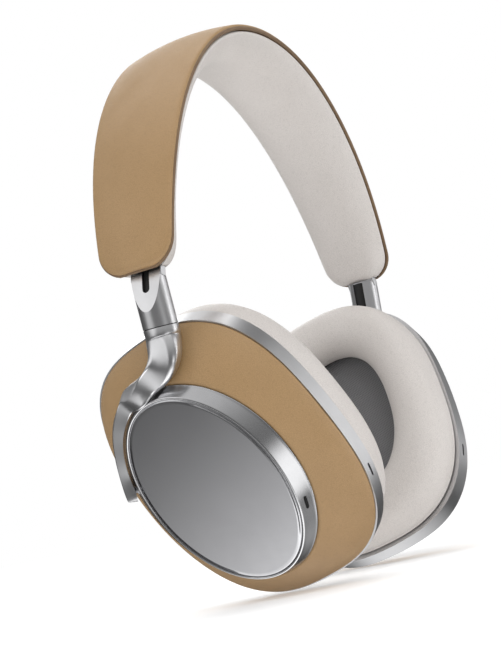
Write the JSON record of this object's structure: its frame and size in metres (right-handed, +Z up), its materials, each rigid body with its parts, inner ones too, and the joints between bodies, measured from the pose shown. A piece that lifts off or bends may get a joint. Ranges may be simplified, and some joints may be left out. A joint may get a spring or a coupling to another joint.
{
  "type": "over-ear headphones",
  "caption": "Over-ear headphones: padded leather headband, sliding and swivelling cast arms, tilting oval ear cups with soft leather pads.",
  "frame": {"origin": "on the ear axis in the middle of the head, midway between the two ear cups' tilt pivots", "axes": "+Z up as worn, towards the headband's crown; -Y towards the wearer's front; +X towards the wearer's left"},
  "size_m": [0.1808, 0.0888, 0.2088],
  "materials": {
    "tan_leather": "smooth fine grain",
    "light_leather": "smooth fine grain",
    "spring_steel": "plain",
    "dark_plastic": "matte",
    "black_plastic": "matte",
    "black_rubber": "ribbed",
    "satin_aluminium": "satin",
    "plate_aluminium": "fine satin, almost flat",
    "polished_aluminium": "polished",
    "cone_film": "satin film",
    "grey_mesh": "fine mesh",
    "circuit_board": "satin",
    "battery_wrap": "satin"
  },
  "bodies": {
    "headband": {"headband_cover": "tan_leather", "headband_cushion": "light_leather", "headband_spring": "spring_steel", "slider_housing_right": "dark_plastic", "slider_housing_left": "dark_plastic"},
    "slider_right": {"slider_tube_right": "satin_aluminium", "slot_liner_right": "black_rubber", "slider_insert_right": "black_plastic"},
    "arm_right": {"arm_right": "satin_aluminium", "swivel_washer_right": "black_plastic", "swivel_pin_right": "spring_steel", "tilt_pin_right": "spring_steel"},
    "cup_right": {"cup_plate_right": "plate_aluminium", "cup_bezel_right": "polished_aluminium", "bezel_mic_right": "black_plastic", "pivot_socket_right": "polished_aluminium", "cup_shell_right": "tan_leather", "ring_mic_right": "black_plastic", "trim_ring_right": "satin_aluminium", "baffle_right": "dark_plastic", "baffle_screws_right": "spring_steel", "driver_frame_right": "dark_plastic", "driver_magnet_right": "spring_steel", "driver_diaphragm_right": "cone_film", "pad_ring_right": "dark_plastic", "pad_mesh_right": "grey_mesh", "ear_pad_right": "light_leather", "circuit_board_right": "circuit_board", "battery": "battery_wrap", "usb_socket": "spring_steel"},
    "slider_left": {"slider_tube_left": "satin_aluminium", "slot_liner_left": "black_rubber", "slider_insert_left": "black_plastic"},
    "arm_left": {"arm_left": "satin_aluminium", "swivel_washer_left": "black_plastic", "swivel_pin_left": "spring_steel", "tilt_pin_left": "spring_steel"},
    "cup_left": {"cup_plate_left": "plate_aluminium", "cup_bezel_left": "polished_aluminium", "bezel_mic_left": "black_plastic", "pivot_socket_left": "polished_aluminium", "cup_shell_left": "tan_leather", "ring_mic_left": "black_plastic", "trim_ring_left": "satin_aluminium", "baffle_left": "dark_plastic", "baffle_screws_left": "spring_steel", "driver_frame_left": "dark_plastic", "driver_magnet_left": "spring_steel", "driver_diaphragm_left": "cone_film", "pad_ring_left": "dark_plastic", "pad_mesh_left": "grey_mesh", "ear_pad_left": "light_leather", "circuit_board_left": "circuit_board"},
    "volume_up_button": {"volume_up_button": "satin_aluminium"},
    "multi_button": {"multi_button": "satin_aluminium"},
    "volume_down_button": {"volume_down_button": "satin_aluminium"},
    "quick_button": {"quick_button": "satin_aluminium"},
    "power_switch": {"power_switch": "satin_aluminium"}
  },
  "joints": [
    {"name": "slide_right", "type": "slide", "parent": "headband", "child": "slider_right", "axis": [-0.2672, 0, -0.9636], "range_m": [0, 0.025]},
    {"name": "swivel_right", "type": "hinge", "parent": "slider_right", "child": "arm_right", "pos_m": [-0.08225, 0, 0.0496], "axis": [-0.0993, 0, 0.9951], "range_deg": [-10, 90]},
    {"name": "tilt_right", "type": "hinge", "parent": "arm_right", "child": "cup_right", "pos_m": [-0.0699, 0.034, 0], "axis": [0, 1, 0], "range_deg": [0, 26]},
    {"name": "slide_left", "type": "slide", "parent": "headband", "child": "slider_left", "axis": [0.2672, 0, -0.9636], "range_m": [0, 0.025]},
    {"name": "swivel_left", "type": "hinge", "parent": "slider_left", "child": "arm_left", "pos_m": [0.08225, 0, 0.0496], "axis": [0.0993, 0, 0.9951], "range_deg": [-90, 10]},
    {"name": "tilt_left", "type": "hinge", "parent": "arm_left", "child": "cup_left", "pos_m": [0.0699, 0.034, 0], "axis": [0, 1, 0], "range_deg": [-26, 0]},
    {"name": "volume_up_button_press", "type": "slide", "parent": "cup_right", "child": "volume_up_button", "axis": [-0.117, -0.9618, 0.2475], "range_m": [0, 0.0005], "stiffness_N_per_m": 500, "springref_m": -0.0012},
    {"name": "multi_button_press", "type": "slide", "parent": "cup_right", "child": "multi_button", "axis": [-0.1286, -0.9536, 0.2721], "range_m": [0, 0.0005], "stiffness_N_per_m": 500, "springref_m": -0.0012},
    {"name": "volume_down_button_press", "type": "slide", "parent": "cup_right", "child": "volume_down_button", "axis": [-0.1603, -0.927, 0.3391], "range_m": [0, 0.0005], "stiffness_N_per_m": 500, "springref_m": -0.0012},
    {"name": "quick_button_press", "type": "slide", "parent": "cup_left", "child": "quick_button", "axis": [0.1286, -0.9536, 0.2721], "range_m": [0, 0.0005], "stiffness_N_per_m": 500, "springref_m": -0.0012},
    {"name": "power_switch_slide", "type": "slide", "parent": "cup_right", "child": "power_switch", "axis": [-0.3612, 0.5344, 0.7642], "range_m": [0, 0.0024]}
  ]
}
